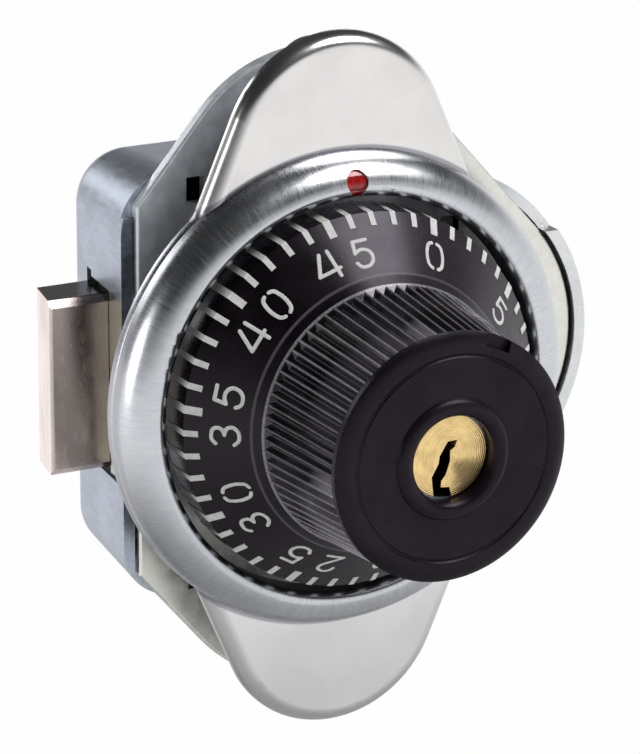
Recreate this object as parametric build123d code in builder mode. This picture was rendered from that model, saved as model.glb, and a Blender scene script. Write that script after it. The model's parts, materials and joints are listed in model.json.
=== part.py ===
from build123d import *
import math
import os

os.makedirs("parts", exist_ok=True)

# Combination locker lock, millimetres. Front is -Y, up is +Z, the bolt shoots to -X.
# The origin is on the dial axis, on the front face of the mounting plate.

# driving dimensions of the trim and its dome
TRIM_TOP = 45.0
LOBE_R = 15.0
LOBE_C = TRIM_TOP - LOBE_R
TRIM_FRONT = -8.7
TRIM_BACK = -6.3
SHEET = 1.0
TRIM_FOLD = 2.0
RING_R = 30.5
RING_CREST_Y = -13.0
LIP_GAP = 1.46
LIP_END_Y = -9.0
LIP_T = 0.9
LIP_TO_CREST = 1.54

# dial and knob
DIAL_R = 24.0
DIAL_KINK_Y = -14.0
BOSS_R = 17.7
BOSS_Y = -19.6
DIAL_BACK = -9.2
DIVISIONS = 50
DIAL_TURN = 24.155
RIBS = 72
KNOB_BASE_Y = -20.6
KNOB_FRONT_Y = -36.2
RIB_R_FRONT = 15.35
RIB_R_BASE = 16.7
RIB_DEPTH = 0.7
CAP_R = 15.5
CAP_SIDE_Y = -36.95
CAP_Y = -37.46
CAP_FLAT_R = 12.88
COLLAR_R = 7.7
PLUG_R = 5.2
CAP_BORE = PLUG_R + 0.2
PLUG_Y = -36.2
KEY_TURN = 8.0

# the lip and the crest of the ring stand round the dial edge, so they follow DIAL_R
LIP_R = DIAL_R + LIP_GAP
RING_CREST_R = LIP_R + LIP_TO_CREST

# red index: a round window over the dial with a short foot
INDEX_Z = RING_CREST_R + 0.5
INDEX_R = 1.45
INDEX_SIDE = (INDEX_R - 0.07, INDEX_Z - 0.45)
INDEX_END = (0.5, LIP_R + 0.29)
INDEX_FOOT = [(-INDEX_SIDE[0], INDEX_SIDE[1]), INDEX_SIDE, INDEX_END, (-INDEX_END[0], INDEX_END[1])]

# mounting plate and case
PLATE_T = 1.5
PLATE_LEFT = -23.45
PLATE_LEFT_Z = 24.0
PLATE_LOBE_C = 22.5
PLATE_LOBE_R = 18.95
PLATE_RIGHT_C = 16.65
PLATE_RIGHT_R = 21.4
CASE_LEFT = -25.3
CASE_HALF_H = 28.0
CASE_CORNER = 8.0
CASE_RIGHT_R = 23.4
CASE_RIGHT_C = 16.5
CASE_BACK = 20.0
CASE_WALL = 1.4
CASE_DRAFT = 5.0
CASE_FLOOR_T = 1.2
CASE_SHOULDER_X = 4.0
CASE_SHOULDER_R = 12.0
POST_Z = 38.0
POST_R = 4.8
SEAT = 0.3
SEAT_R = POST_R + 1.3
POST_THREAD = 3.0

# bolt and its guide
BOLT_FRONT = 6.1
BOLT_BACK = 12.5
BOLT_HALF_H = 11.4
BOLT_TIP = -32.5
BOLT_INNER = -21.0
THROW = 7.5
TAIL_BACK = 8.6

# spindle, wheels and lever
SPINDLE_R = 3.2
SPINDLE_BORE = 1.9
RUN = 0.05
CAM_Y = 8.9
CAM_T = 2.0
WHEEL_R = 12.6
WHEEL_T = 1.5
WHEEL_PITCH = 2.3
WHEEL_Y = 11.7
POST_TUBE_R = 4.0
GATE_TURN = 8.75
GATE_W = 3.2
GATE_FLOOR = 9.2
PIVOT_X = 15.5
PIVOT_Z = 11.5
PIVOT_R = 1.5


def at(y):
    """Plane that faces the front, at depth y: local x is X, local y is Z."""
    return Plane.XZ.offset(-y)


def turned(y, degrees):
    """The same plane turned clockwise, seen from the front."""
    a = math.radians(degrees)
    x_dir = (math.cos(a), 0, -math.sin(a))
    return Plane(origin=(0, y, 0), x_dir=x_dir, z_dir=(0, -1, 0))


def radial(degrees):
    """Plane through the dial axis: local x is the radius, local y is depth Y."""
    a = math.radians(degrees)
    out = Vector(math.sin(a), 0, math.cos(a))
    return Plane(origin=(0, 0, 0), x_dir=out, z_dir=out.cross(Vector(0, 1, 0)))


# trim plate: stamped sheet with two lobes, a returned edge and a domed ring round the dial
tangent = math.radians(23.2)
lobe_x = LOBE_R * math.cos(tangent)
lobe_z = LOBE_C + LOBE_R * math.sin(tangent)
join_x = 19.4
join_z = 22.9
with BuildSketch() as trim_outline:
    Circle(RING_R)
    for side in (1, -1):
        with Locations((0, side * LOBE_C)):
            Circle(LOBE_R)
        with BuildLine():
            Polyline(
                (-lobe_x, side * lobe_z),
                (lobe_x, side * lobe_z),
                (join_x, side * join_z),
                (-join_x, side * join_z),
                close=True,
            )
        make_face()
    corners = [v for v in vertices() if abs(abs(v.X) - join_x) < 1.5 and abs(v.Y) < 26]
    fillet(corners, radius=1.5 * TRIM_FOLD)
with BuildPart() as trim_plate:
    with BuildSketch(at(TRIM_BACK)):
        add(trim_outline.sketch)
    extrude(amount=TRIM_BACK - TRIM_FRONT)
    fillet(faces().sort_by(Axis.Y)[0].edges(), radius=TRIM_FOLD)
    with BuildSketch(at(TRIM_BACK)):
        add(trim_outline.sketch)
        offset(amount=-SHEET)
    extrude(amount=TRIM_BACK - TRIM_FRONT - SHEET, mode=Mode.SUBTRACT)
    with BuildSketch(at(TRIM_BACK)):
        Circle(RING_R - 1.2)
    extrude(amount=5, mode=Mode.SUBTRACT)
    with BuildSketch(Plane.XY):
        with BuildLine():
            edge_start = (RING_R, TRIM_FRONT + 0.6)
            crest = (RING_CREST_R, RING_CREST_Y)
            lip_top = (LIP_R, RING_CREST_Y + 1.1)
            inner_lip = (LIP_R + LIP_T, RING_CREST_Y + 1.4)
            inner_crest = (RING_CREST_R + 0.1, RING_CREST_Y + 0.95)
            inner_edge = (RING_CREST_R + 2.2, TRIM_FRONT + SHEET)
            ThreePointArc(edge_start, (RING_CREST_R + 2.45, RING_CREST_Y + 1.45), crest)
            ThreePointArc(crest, (RING_CREST_R - 1.15, RING_CREST_Y + 0.28), lip_top)
            Polyline(lip_top, (LIP_R, LIP_END_Y), (LIP_R + LIP_T, LIP_END_Y), inner_lip)
            ThreePointArc(inner_lip, (RING_CREST_R - 0.4, RING_CREST_Y + 1.0), inner_crest)
            ThreePointArc(inner_crest, (RING_CREST_R + 1.6, RING_CREST_Y + 2.0), inner_edge)
            Polyline(inner_edge, (RING_R, TRIM_FRONT + SHEET), edge_start)
        make_face()
    revolve(axis=Axis.Y)
    # drop-shaped window for the index
    with BuildSketch(at(-9.8)):
        with Locations((0, INDEX_Z)):
            Circle(INDEX_R)
        with BuildLine():
            Polyline(*INDEX_FOOT, close=True)
        make_face()
    extrude(amount=5, mode=Mode.SUBTRACT)
trim_plate.part.label = "trim_plate"
export_step(trim_plate.part, "parts/trim_plate.step")

# index marker: a red drop set back in the window, following the dome
with BuildPart() as index_marker:
    with BuildSketch(at(-10.2)):
        with Locations((0, INDEX_Z)):
            Circle(INDEX_R)
        with BuildLine():
            Polyline(*INDEX_FOOT, close=True)
        make_face()
    extrude(amount=5)
    with BuildSketch(Plane.XY):
        with BuildLine():
            top = (RING_CREST_R, RING_CREST_Y + 0.35)
            far = (RING_CREST_R + 3.2, TRIM_FRONT + 0.6)
            near = (RING_CREST_R - 1.3, RING_CREST_Y + 1.4)
            ThreePointArc(far, (RING_CREST_R + 2.2, RING_CREST_Y + 1.7), top)
            ThreePointArc(top, (RING_CREST_R - 0.9, RING_CREST_Y + 0.65), near)
            Polyline(near, (near[0], far[1]), far)
        make_face()
    revolve(axis=Axis.Y, mode=Mode.INTERSECT)
index_marker.part.label = "index_marker"
export_step(index_marker.part, "parts/index_marker.step")

# two threaded posts on the back of the trim reach through the door to the plate
with BuildPart() as trim_posts:
    with BuildSketch(at(SEAT)):
        with Locations((0, POST_Z), (0, -POST_Z)):
            Circle(POST_R)
    extrude(amount=SEAT - (TRIM_FRONT + SHEET))
    with BuildSketch(at(SEAT)):
        with Locations((0, POST_Z), (0, -POST_Z)):
            Circle(1.3)
    extrude(amount=SEAT + POST_THREAD, mode=Mode.SUBTRACT)
trim_posts.part.label = "trim_posts"
export_step(trim_posts.part, "parts/trim_posts.step")

# pan-head screws pull the plate against the posts
with BuildPart() as mounting_screws:
    with BuildSketch(at(PLATE_T)):
        with Locations((0, POST_Z), (0, -POST_Z)):
            Circle(1.25)
    extrude(amount=PLATE_T + POST_THREAD - 0.4)
    with BuildSketch(at(PLATE_T + 1.9)):
        with Locations((0, POST_Z), (0, -POST_Z)):
            Circle(2.9)
    extrude(amount=1.9)
    fillet(faces().sort_by(Axis.Y)[-2:].edges(), radius=0.8)
    with BuildSketch(at(PLATE_T + 1.9)):
        with Locations((0, POST_Z), (0, -POST_Z)):
            Rectangle(3.6, 0.8)
            Rectangle(0.8, 3.6)
    extrude(amount=1.1, mode=Mode.SUBTRACT)
mounting_screws.part.label = "mounting_screws"
export_step(mounting_screws.part, "parts/mounting_screws.step")

# mounting plate: flat left edge, straight diagonals, round lobes and a round right corner
BUSH_R = 6.0
TAB_X = -15.55
TAB_Z = 25.2
with BuildSketch() as plate_outline:
    with Locations((0, PLATE_LOBE_C), (0, -PLATE_LOBE_C)):
        Circle(PLATE_LOBE_R)
    with Locations((PLATE_RIGHT_C, 0)):
        Circle(PLATE_RIGHT_R)
    with Locations((PLATE_LEFT + 1, 0)):
        Rectangle(2, 2 * PLATE_LEFT_Z)
    make_hull()
with BuildPart() as mounting_plate:
    with BuildSketch(at(PLATE_T)):
        add(plate_outline.sketch)
    extrude(amount=PLATE_T)
    fillet(faces().sort_by(Axis.Y)[0].edges(), radius=0.35)
    with BuildSketch(at(PLATE_T)):
        Circle(BUSH_R)
        with Locations((0, POST_Z), (0, -POST_Z)):
            Circle(1.6)
        with Locations((TAB_X, TAB_Z), (TAB_X, -TAB_Z), (20, 15.6), (20, -15.6)):
            Rectangle(2.5, 3.4)
    extrude(amount=PLATE_T, mode=Mode.SUBTRACT)
    with BuildSketch(at(SEAT)):
        with Locations((0, POST_Z), (0, -POST_Z)):
            Circle(SEAT_R)
    extrude(amount=SEAT, mode=Mode.SUBTRACT)
mounting_plate.part.label = "mounting_plate"
export_step(mounting_plate.part, "parts/mounting_plate.step")

# flanged bush staked in the plate: it carries the spindle and passes through the door
with BuildPart() as spindle_bush:
    with BuildSketch(at(3.4)):
        Circle(7.2)
    extrude(amount=3.4 - PLATE_T)
    with BuildSketch(at(PLATE_T)):
        Circle(BUSH_R)
    extrude(amount=PLATE_T + 7.6)
    with BuildSketch(at(3.4)):
        Circle(SPINDLE_R + RUN)
    extrude(amount=12, mode=Mode.SUBTRACT)
spindle_bush.part.label = "spindle_bush"
export_step(spindle_bush.part, "parts/spindle_bush.step")


def case_outline(inset):
    """D-shaped outline of the case: flat left side, level top, round right end."""
    r = CASE_CORNER - inset
    with Locations((CASE_LEFT + CASE_CORNER, CASE_HALF_H - CASE_CORNER)):
        Circle(r)
    with Locations((CASE_LEFT + CASE_CORNER, -CASE_HALF_H + CASE_CORNER)):
        Circle(r)
    shoulder_z = CASE_HALF_H - CASE_SHOULDER_R
    with Locations((CASE_SHOULDER_X, shoulder_z), (CASE_SHOULDER_X, -shoulder_z)):
        Circle(CASE_SHOULDER_R - inset)
    with Locations((CASE_RIGHT_C, 0)):
        Circle(CASE_RIGHT_R - inset)
    make_hull()


# case: drawn cup with drafted walls whose rim wraps the left and right edges of the plate
SLOT_HALF_H = 12.2
with BuildPart() as case:
    with BuildSketch(Plane.XZ.offset(-PLATE_T - 0.05)):
        case_outline(0)
    extrude(amount=-(CASE_BACK - PLATE_T - 0.05), taper=CASE_DRAFT)
    fillet(faces().sort_by(Axis.Y)[-1].edges(), radius=4)
    # forward tongues of the rim
    with BuildSketch(at(PLATE_T + 0.05)):
        case_outline(0)
        with Locations((CASE_LEFT + 1, -0.75)):
            Rectangle(4, 46.5, mode=Mode.INTERSECT)
    extrude(amount=PLATE_T + 0.05 - 0.7)
    with BuildSketch(at(PLATE_T + 0.05)):
        case_outline(0)
        with Locations((38, 0)):
            Rectangle(12, 27, mode=Mode.INTERSECT)
    extrude(amount=PLATE_T + 0.05 + 0.6)
    # room round the edge of the plate, then the hollow
    with BuildSketch(at(PLATE_T + 0.05)):
        add(plate_outline.sketch)
        offset(amount=0.35)
    extrude(amount=PLATE_T + 1, mode=Mode.SUBTRACT)
    with BuildSketch(at(PLATE_T + 0.05)):
        case_outline(CASE_WALL)
    extrude(amount=-(CASE_BACK - CASE_FLOOR_T - PLATE_T - 0.05), taper=CASE_DRAFT, mode=Mode.SUBTRACT)
    # bolt slot through the left wall
    with Locations((CASE_LEFT, 7.0, 0)):
        Box(12, 12.4, 2 * SLOT_HALF_H, mode=Mode.SUBTRACT)
    with Locations((CASE_LEFT, 12.4, SLOT_HALF_H)):
        Box(12, 1.6, 1.6, mode=Mode.SUBTRACT)
case.part.label = "case"
export_step(case.part, "parts/case.step")

# bolt guide: channel staked to the plate that fills the front of the slot
with BuildPart() as bolt_guide:
    with BuildSketch(at(5.95)):
        with Locations((-20.0, 0)):
            Rectangle(9.2, 24)
    extrude(amount=5.95 - PLATE_T)
    with BuildSketch(at(BOLT_BACK + 0.6)):
        with Locations((-19.4, 12.5), (-19.4, -12.5)):
            Rectangle(6.8, 1.9)
    extrude(amount=BOLT_BACK + 0.6 - PLATE_T)
bolt_guide.part.label = "bolt_guide"
export_step(bolt_guide.part, "parts/bolt_guide.step")

# latch bolt: thick head with a bevelled end, thin tail with a window round the spindle
TAIL_Y = (BOLT_FRONT + TAIL_BACK) / 2
WINDOW_HALF = 5.6
with BuildPart() as latch_bolt:
    with BuildSketch(Plane.XY.offset(-BOLT_HALF_H)):
        with BuildLine():
            Polyline(
                (BOLT_INNER, BOLT_FRONT),
                (BOLT_TIP, BOLT_FRONT),
                (BOLT_TIP + 1.1, BOLT_BACK),
                (BOLT_INNER, BOLT_BACK),
                close=True,
            )
        make_face()
    extrude(amount=2 * BOLT_HALF_H)
    front_long = edges().filter_by(Axis.X).group_by(Axis.Y)[0]
    chamfer(front_long, length=0.9)
    fillet(edges().group_by(Axis.X)[0], radius=0.35)
    with BuildSketch(at(TAIL_BACK)):
        with BuildLine():
            Polyline(
                (BOLT_INNER - 1, -9),
                (10, -9),
                (10, -17.2),
                (15, -17.2),
                (15, -9),
                (19, -6),
                (20, 8),
                (20, 15.5),
                (18.5, 17.5),
                (15.5, 16.5),
                (9, 9),
                (BOLT_INNER - 1, 9),
                close=True,
            )
        make_face()
    extrude(amount=TAIL_BACK - BOLT_FRONT)
    with BuildSketch(at(BOLT_BACK)):
        with Locations((14.25, -13.8)):
            Rectangle(1.5, 6.8)
    extrude(amount=BOLT_BACK - BOLT_FRONT)
    # window: clears the spindle over the whole throw, with a tooth for the override pin
    with BuildSketch(at(TAIL_BACK)):
        with Locations((-THROW / 2 + 0.4, 0)):
            SlotOverall(THROW + 2 * WINDOW_HALF + 0.8, 2 * WINDOW_HALF)
        with Locations((-1.75, WINDOW_HALF)):
            Rectangle(1.5, 4.4, mode=Mode.SUBTRACT)
    extrude(amount=TAIL_BACK - BOLT_FRONT, mode=Mode.SUBTRACT)
    # stud that carries the lever, and the stud that holds the leaf spring
    with BuildSketch(at(11.4)):
        with Locations((PIVOT_X, PIVOT_Z)):
            Circle(PIVOT_R)
        with Locations((18.2, 15.6)):
            Circle(1.1)
    extrude(amount=11.4 - TAIL_BACK)
latch_bolt.part.label = "latch_bolt"
export_step(latch_bolt.part, "parts/latch_bolt.step")

# fence lever: its nose drops into the cam notch and its bar drops into the wheel gates
NOSE_Z = 12.95
with BuildPart() as fence_lever:
    with BuildSketch(at(CAM_Y + CAM_T)):
        with Locations((PIVOT_X, PIVOT_Z)):
            Circle(3.0)
        with BuildLine():
            Polyline(
                (17.3, 13.8),
                (10, 17.4),
                (1, 17.4),
                (1, NOSE_Z),
                (3, NOSE_Z),
                (3, 15.0),
                (8, 15.0),
                (13.2, 9.8),
                close=True,
            )
        make_face()
        with Locations((PIVOT_X, PIVOT_Z)):
            Circle(PIVOT_R + RUN, mode=Mode.SUBTRACT)
    extrude(amount=CAM_T)
    with BuildSketch(at(17.9)):
        with Locations((2, (NOSE_Z + 17.0) / 2)):
            Rectangle(2, 17.0 - NOSE_Z)
    extrude(amount=17.9 - CAM_Y - CAM_T)
fence_lever.part.label = "fence_lever"
export_step(fence_lever.part, "parts/fence_lever.step")

# clip that keeps the lever on its stud
with BuildPart() as lever_clip:
    with BuildSketch(at(11.5)):
        with Locations((PIVOT_X, PIVOT_Z)):
            Circle(2.4)
            Circle(PIVOT_R, mode=Mode.SUBTRACT)
            with Locations((2, 0)):
                Rectangle(3, 1.4, mode=Mode.SUBTRACT)
    extrude(amount=0.5)
lever_clip.part.label = "lever_clip"
export_step(lever_clip.part, "parts/lever_clip.step")

# leaf spring that presses the lever towards the wheels
with BuildPart() as lever_spring:
    with BuildSketch(at(CAM_Y + CAM_T)):
        with BuildLine():
            Polyline(
                (18.2, 16.75),
                (18.2, 17.1),
                (11.6, 18.9),
                (4.4, 17.85),
                (4.4, 17.5),
                (11.6, 18.5),
                close=True,
            )
        make_face()
        with Locations((18.2, 15.6)):
            Circle(1.5)
            Circle(1.1, mode=Mode.SUBTRACT)
    extrude(amount=CAM_T)
lever_spring.part.label = "lever_spring"
export_step(lever_spring.part, "parts/lever_spring.step")

# compression spring that throws the bolt, between the tail tab and a seat on the plate
SPRING_X = 15.1
SPRING_END = 27.4
SPRING_Y = 9.4
SPRING_Z = -12.8
with BuildPart() as bolt_spring:
    with BuildLine():
        coil = Helix(
            pitch=(SPRING_END - SPRING_X - 0.9) / 5,
            height=SPRING_END - SPRING_X - 0.9,
            radius=2.1,
            center=(SPRING_X + 0.45, SPRING_Y, SPRING_Z),
            direction=(1, 0, 0),
        )
    with BuildSketch(Plane(origin=coil @ 0, z_dir=coil % 0)):
        RegularPolygon(radius=0.38, side_count=8)
    sweep(is_frenet=True)
bolt_spring.part.label = "bolt_spring"
export_step(bolt_spring.part, "parts/bolt_spring.step")

# spring seat: angle bracket on the back of the plate
with BuildPart() as spring_seat:
    with BuildSketch(at(12.6)):
        with Locations((SPRING_END + 0.65, SPRING_Z)):
            Rectangle(1.3, 5.4)
    extrude(amount=12.6 - PLATE_T)
    with BuildSketch(at(PLATE_T + 1.2)):
        with Locations((SPRING_END - 1.5, SPRING_Z)):
            Rectangle(5.6, 5.4)
    extrude(amount=1.2)
spring_seat.part.label = "spring_seat"
export_step(spring_seat.part, "parts/spring_seat.step")


def gate(y, thickness):
    """Notch cut into a disc at the fence position."""
    with BuildSketch(turned(y, GATE_TURN)) as notch:
        with Locations((0, GATE_FLOOR + 3)):
            Rectangle(GATE_W, 6)
    extrude(notch.sketch, amount=thickness, mode=Mode.SUBTRACT)


# drive cam pressed on the spindle, with the notch for the nose and a pin for the first wheel
LUG_R = 8.6
with BuildPart() as drive_cam:
    with BuildSketch(at(CAM_Y + CAM_T)):
        Circle(WHEEL_R)
        Circle(SPINDLE_R, mode=Mode.SUBTRACT)
    extrude(amount=CAM_T)
    gate(CAM_Y + CAM_T, CAM_T)
    with BuildSketch(turned(CAM_Y + CAM_T + 0.6, 195)):
        with Locations((0, LUG_R)):
            Circle(0.6)
    extrude(amount=1.0)
drive_cam.part.label = "drive_cam"
export_step(drive_cam.part, "parts/drive_cam.step")

# three combination wheels: discs with a gate, a lug on each face and three holes
for index in range(3):
    front = WHEEL_Y + index * WHEEL_PITCH
    back = front + WHEEL_T
    with BuildPart() as wheel:
        with BuildSketch(at(back)):
            Circle(WHEEL_R)
            Circle(POST_TUBE_R + RUN, mode=Mode.SUBTRACT)
            with PolarLocations(7.4, 3, start_angle=40):
                Circle(1.3, mode=Mode.SUBTRACT)
        extrude(amount=WHEEL_T)
        gate(back, WHEEL_T)
        with BuildSketch(turned(front + 0.2, 210)):
            with Locations((0, LUG_R)):
                Circle(0.6)
        extrude(amount=0.8 if index else 0.7)
        if index < 2:
            with BuildSketch(turned(back + 0.6, 195)):
                with Locations((0, LUG_R)):
                    Circle(0.6)
            extrude(amount=0.8)
    wheel.part.label = f"wheel_{index + 1}"
    export_step(wheel.part, f"parts/wheel_{index + 1}.step")

# wheel post: flanged tube staked to the case back, round the end of the spindle
CASE_FLOOR = CASE_BACK - CASE_FLOOR_T
with BuildPart() as wheel_post:
    with BuildSketch(at(CASE_FLOOR)):
        Circle(7)
    extrude(amount=0.6)
    with BuildSketch(at(CASE_FLOOR)):
        Circle(POST_TUBE_R)
    extrude(amount=CASE_FLOOR - 11.1)
    with BuildSketch(at(CASE_FLOOR)):
        Circle(SPINDLE_R + 0.2)
    extrude(amount=CASE_FLOOR - 11.1, mode=Mode.SUBTRACT)
wheel_post.part.label = "wheel_post"
export_step(wheel_post.part, "parts/wheel_post.step")

# fixed rings between the wheels, and the ring that keeps them on the post
with BuildPart() as wheel_spacers:
    with BuildSketch(at(WHEEL_Y - 0.1)):
        Circle(5.4)
        Circle(POST_TUBE_R, mode=Mode.SUBTRACT)
    extrude(amount=0.45)
    for index in (0, 1):
        back = WHEEL_Y + index * WHEEL_PITCH + WHEEL_T + 0.75
        with BuildSketch(at(back)):
            Circle(5.6)
            Circle(POST_TUBE_R, mode=Mode.SUBTRACT)
        extrude(amount=0.7)
    with BuildSketch(at(18.15)):
        Circle(5.6)
        Circle(POST_TUBE_R, mode=Mode.SUBTRACT)
    extrude(amount=0.3)
wheel_spacers.part.label = "wheel_spacers"
export_step(wheel_spacers.part, "parts/wheel_spacers.step")

# spindle: hollow shaft with a head inside the knob, a clip groove and a cross hole
PIN_Y = (BOLT_FRONT + TAIL_BACK) / 2
with BuildPart() as spindle:
    with BuildSketch(at(17.6)):
        Circle(SPINDLE_R)
    extrude(amount=17.6 + 20.0)
    with BuildSketch(at(-18.6)):
        Circle(7.4)
    extrude(amount=1.4)
    with BuildSketch(at(4.6)):
        Circle(SPINDLE_R)
        Circle(2.75, mode=Mode.SUBTRACT)
    extrude(amount=0.9, mode=Mode.SUBTRACT)
    with BuildSketch(at(17.6)):
        Circle(SPINDLE_BORE)
    extrude(amount=38, mode=Mode.SUBTRACT)
    pin_plane = radial(DIAL_TURN + 180)
    with BuildSketch(Plane(origin=(0, PIN_Y, 0), z_dir=pin_plane.x_dir)):
        Circle(0.85)
    extrude(amount=5, mode=Mode.SUBTRACT)
spindle.part.label = "spindle"
export_step(spindle.part, "parts/spindle.step")

# clip in the spindle groove, behind the bush
with BuildPart() as retaining_clip:
    with BuildSketch(at(4.5)):
        Circle(5.0)
        Circle(2.75, mode=Mode.SUBTRACT)
        with Locations((4, 0)):
            Rectangle(5, 2.4, mode=Mode.SUBTRACT)
    extrude(amount=0.7)
retaining_clip.part.label = "retaining_clip"
export_step(retaining_clip.part, "parts/retaining_clip.step")


def ring_profile(points):
    """Closed profile in the plane of the dial axis, (radius, depth) pairs."""
    with BuildSketch(Plane.XY) as profile:
        with BuildLine():
            Polyline(*points, close=True)
        make_face()
    return profile.sketch


# dial: moulded cone with a boss for the knob, hollow behind
with BuildPart() as dial:
    outline = [
        (7.45, BOSS_Y - 1.0),
        (BOSS_R - 0.9, BOSS_Y - 1.0),
        (BOSS_R, BOSS_Y),
        (DIAL_R, DIAL_KINK_Y),
        (DIAL_R, DIAL_BACK),
        (DIAL_R - 1.4, DIAL_BACK),
        (DIAL_R - 1.4, DIAL_KINK_Y + 0.7),
        (BOSS_R - 0.2, BOSS_Y + 1.7),
        (9.2, BOSS_Y + 1.7),
        (9.2, DIAL_BACK + 0.6),
        (7.45, DIAL_BACK + 0.6),
    ]
    revolve(ring_profile(outline), axis=Axis.Y)
dial.part.label = "dial"
export_step(dial.part, "parts/dial.step")

# fifty painted strokes that run from the cone over its edge and down the rim
STROKE_W = 0.75
MAJOR_W = 1.0
PAINT = 0.06
with BuildPart() as dial_strokes:
    for every, inner, width in ((0, DIAL_R - 1.7, MAJOR_W), (1, DIAL_R - 1.37, STROKE_W)):
        drop = (DIAL_R - inner) * (BOSS_Y - DIAL_KINK_Y) / (BOSS_R - DIAL_R)
        for index in range(DIVISIONS):
            if min(index % 5, 1) == every:
                with BuildSketch(radial(DIAL_TURN + index * 360 / DIVISIONS)):
                    with BuildLine():
                        Polyline(
                            (inner, DIAL_KINK_Y - drop),
                            (DIAL_R, DIAL_KINK_Y),
                            (DIAL_R, DIAL_BACK + 0.4),
                            (DIAL_R + PAINT, DIAL_BACK + 0.4),
                            (DIAL_R + PAINT, DIAL_KINK_Y - PAINT / 2),
                            (inner + PAINT, DIAL_KINK_Y - drop - PAINT),
                            close=True,
                        )
                    make_face()
        extrude(amount=width / 2, both=True)
dial_strokes.part.label = "dial_strokes"
export_step(dial_strokes.part, "parts/dial_strokes.step")


def star(radius, depth):
    """Section of the grip: one pointed ridge every RIBS-th of a turn."""
    points = []
    for k in range(2 * RIBS):
        a = math.radians(DIAL_TURN + 180.0 * k / RIBS)
        r = radius - depth * (k % 2)
        points.append((r * math.sin(a), r * math.cos(a)))
    return points


# knob: ribbed grip, flared at its foot so that the ridges run out in pointed leaves
CAVITY_R = 13.4
SLEEVE_R = 6.6
SLEEVE_BACK = -21.2
SLEEVE_LENGTH = 14.5
with BuildPart() as knob:
    with BuildSketch(at(KNOB_BASE_Y)):
        with BuildLine():
            Polyline(*star(RIB_R_BASE, RIB_DEPTH), close=True)
        make_face()
    with BuildSketch(at(KNOB_FRONT_Y)):
        with BuildLine():
            Polyline(*star(RIB_R_FRONT, RIB_DEPTH), close=True)
        make_face()
    loft(ruled=True)
    foot = [(0, -22.4), (15.0, -22.4), (RIB_R_BASE + 0.1, KNOB_BASE_Y), (0, KNOB_BASE_Y)]
    revolve(ring_profile(foot), axis=Axis.Y)
    # seat of the cap, bore of the sleeve and the hollow behind it
    with BuildSketch(at(-35.85)):
        Circle(CAP_R - 1.3)
    extrude(amount=3, mode=Mode.SUBTRACT)
    with BuildSketch(turned(SLEEVE_BACK, KEY_TURN)):
        Circle(SLEEVE_R)
        with Locations((0, 9)):
            Rectangle(5.2, 8.4)
    extrude(amount=20, mode=Mode.SUBTRACT)
    with BuildSketch(at(KNOB_BASE_Y + 1)):
        Circle(SPINDLE_BORE + 0.6)
    extrude(amount=2, mode=Mode.SUBTRACT)
knob.part.label = "knob"
export_step(knob.part, "parts/knob.step")

# cap: smooth face with a rounded rim, a raised collar and a rim notch
with BuildPart() as knob_cap:
    with BuildSketch(Plane.XY):
        with BuildLine():
            Polyline(
                (CAP_BORE, -35.9),
                (CAP_BORE, -37.6),
            )
            ThreePointArc((CAP_BORE, -37.6), (6.5, -38.2), (COLLAR_R - 0.1, CAP_Y))
            Polyline(
                (COLLAR_R - 0.1, CAP_Y),
                (CAP_FLAT_R, CAP_Y),
            )
            ThreePointArc((CAP_FLAT_R, CAP_Y), (14.75, -37.33), (CAP_R, CAP_SIDE_Y))
            Polyline(
                (CAP_R, CAP_SIDE_Y),
                (CAP_R, KNOB_FRONT_Y),
                (CAP_R - 1.4, KNOB_FRONT_Y),
                (CAP_R - 1.4, -35.9),
                (CAP_BORE, -35.9),
            )
        make_face()
    revolve(axis=Axis.Y)
    with BuildSketch(turned(KNOB_FRONT_Y - 0.2, DIAL_TURN)):
        with Locations((0, CAP_R - 0.6)):
            Rectangle(3.4, 1.8)
    extrude(amount=3, mode=Mode.SUBTRACT)
knob_cap.part.label = "knob_cap"
export_step(knob_cap.part, "parts/knob_cap.step")

# lock cylinder in the knob: sleeve with a chamber block, plug with the keyway
PIN_PITCH = 2.6
PIN_FIRST = -33.6
PIN_COUNT = 5
OVERRIDE_LIFT = 1.0
PIN_R = 0.9
SHEAR = PLUG_R
out = radial(KEY_TURN).x_dir


def pin_plane_at(index, radius):
    """Plane of one pin chamber, square to it, at a distance from the axis."""
    centre = out * radius + Vector(0, PIN_FIRST + index * PIN_PITCH, 0)
    return Plane(origin=centre, z_dir=out)


with BuildPart() as cylinder_sleeve:
    with BuildSketch(turned(SLEEVE_BACK - 0.1, KEY_TURN)):
        Circle(SLEEVE_R)
        with Locations((0, 9)):
            Rectangle(5.0, 8.0)
    extrude(amount=SLEEVE_LENGTH)
    with BuildSketch(at(SLEEVE_BACK - 0.1)):
        Circle(PLUG_R + RUN)
    extrude(amount=SLEEVE_LENGTH, mode=Mode.SUBTRACT)
    for index in range(PIN_COUNT):
        with BuildSketch(pin_plane_at(index, PLUG_R - 0.5)):
            Circle(PIN_R + RUN)
    extrude(amount=7.6, mode=Mode.SUBTRACT)
cylinder_sleeve.part.label = "cylinder_sleeve"
export_step(cylinder_sleeve.part, "parts/cylinder_sleeve.step")

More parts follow.
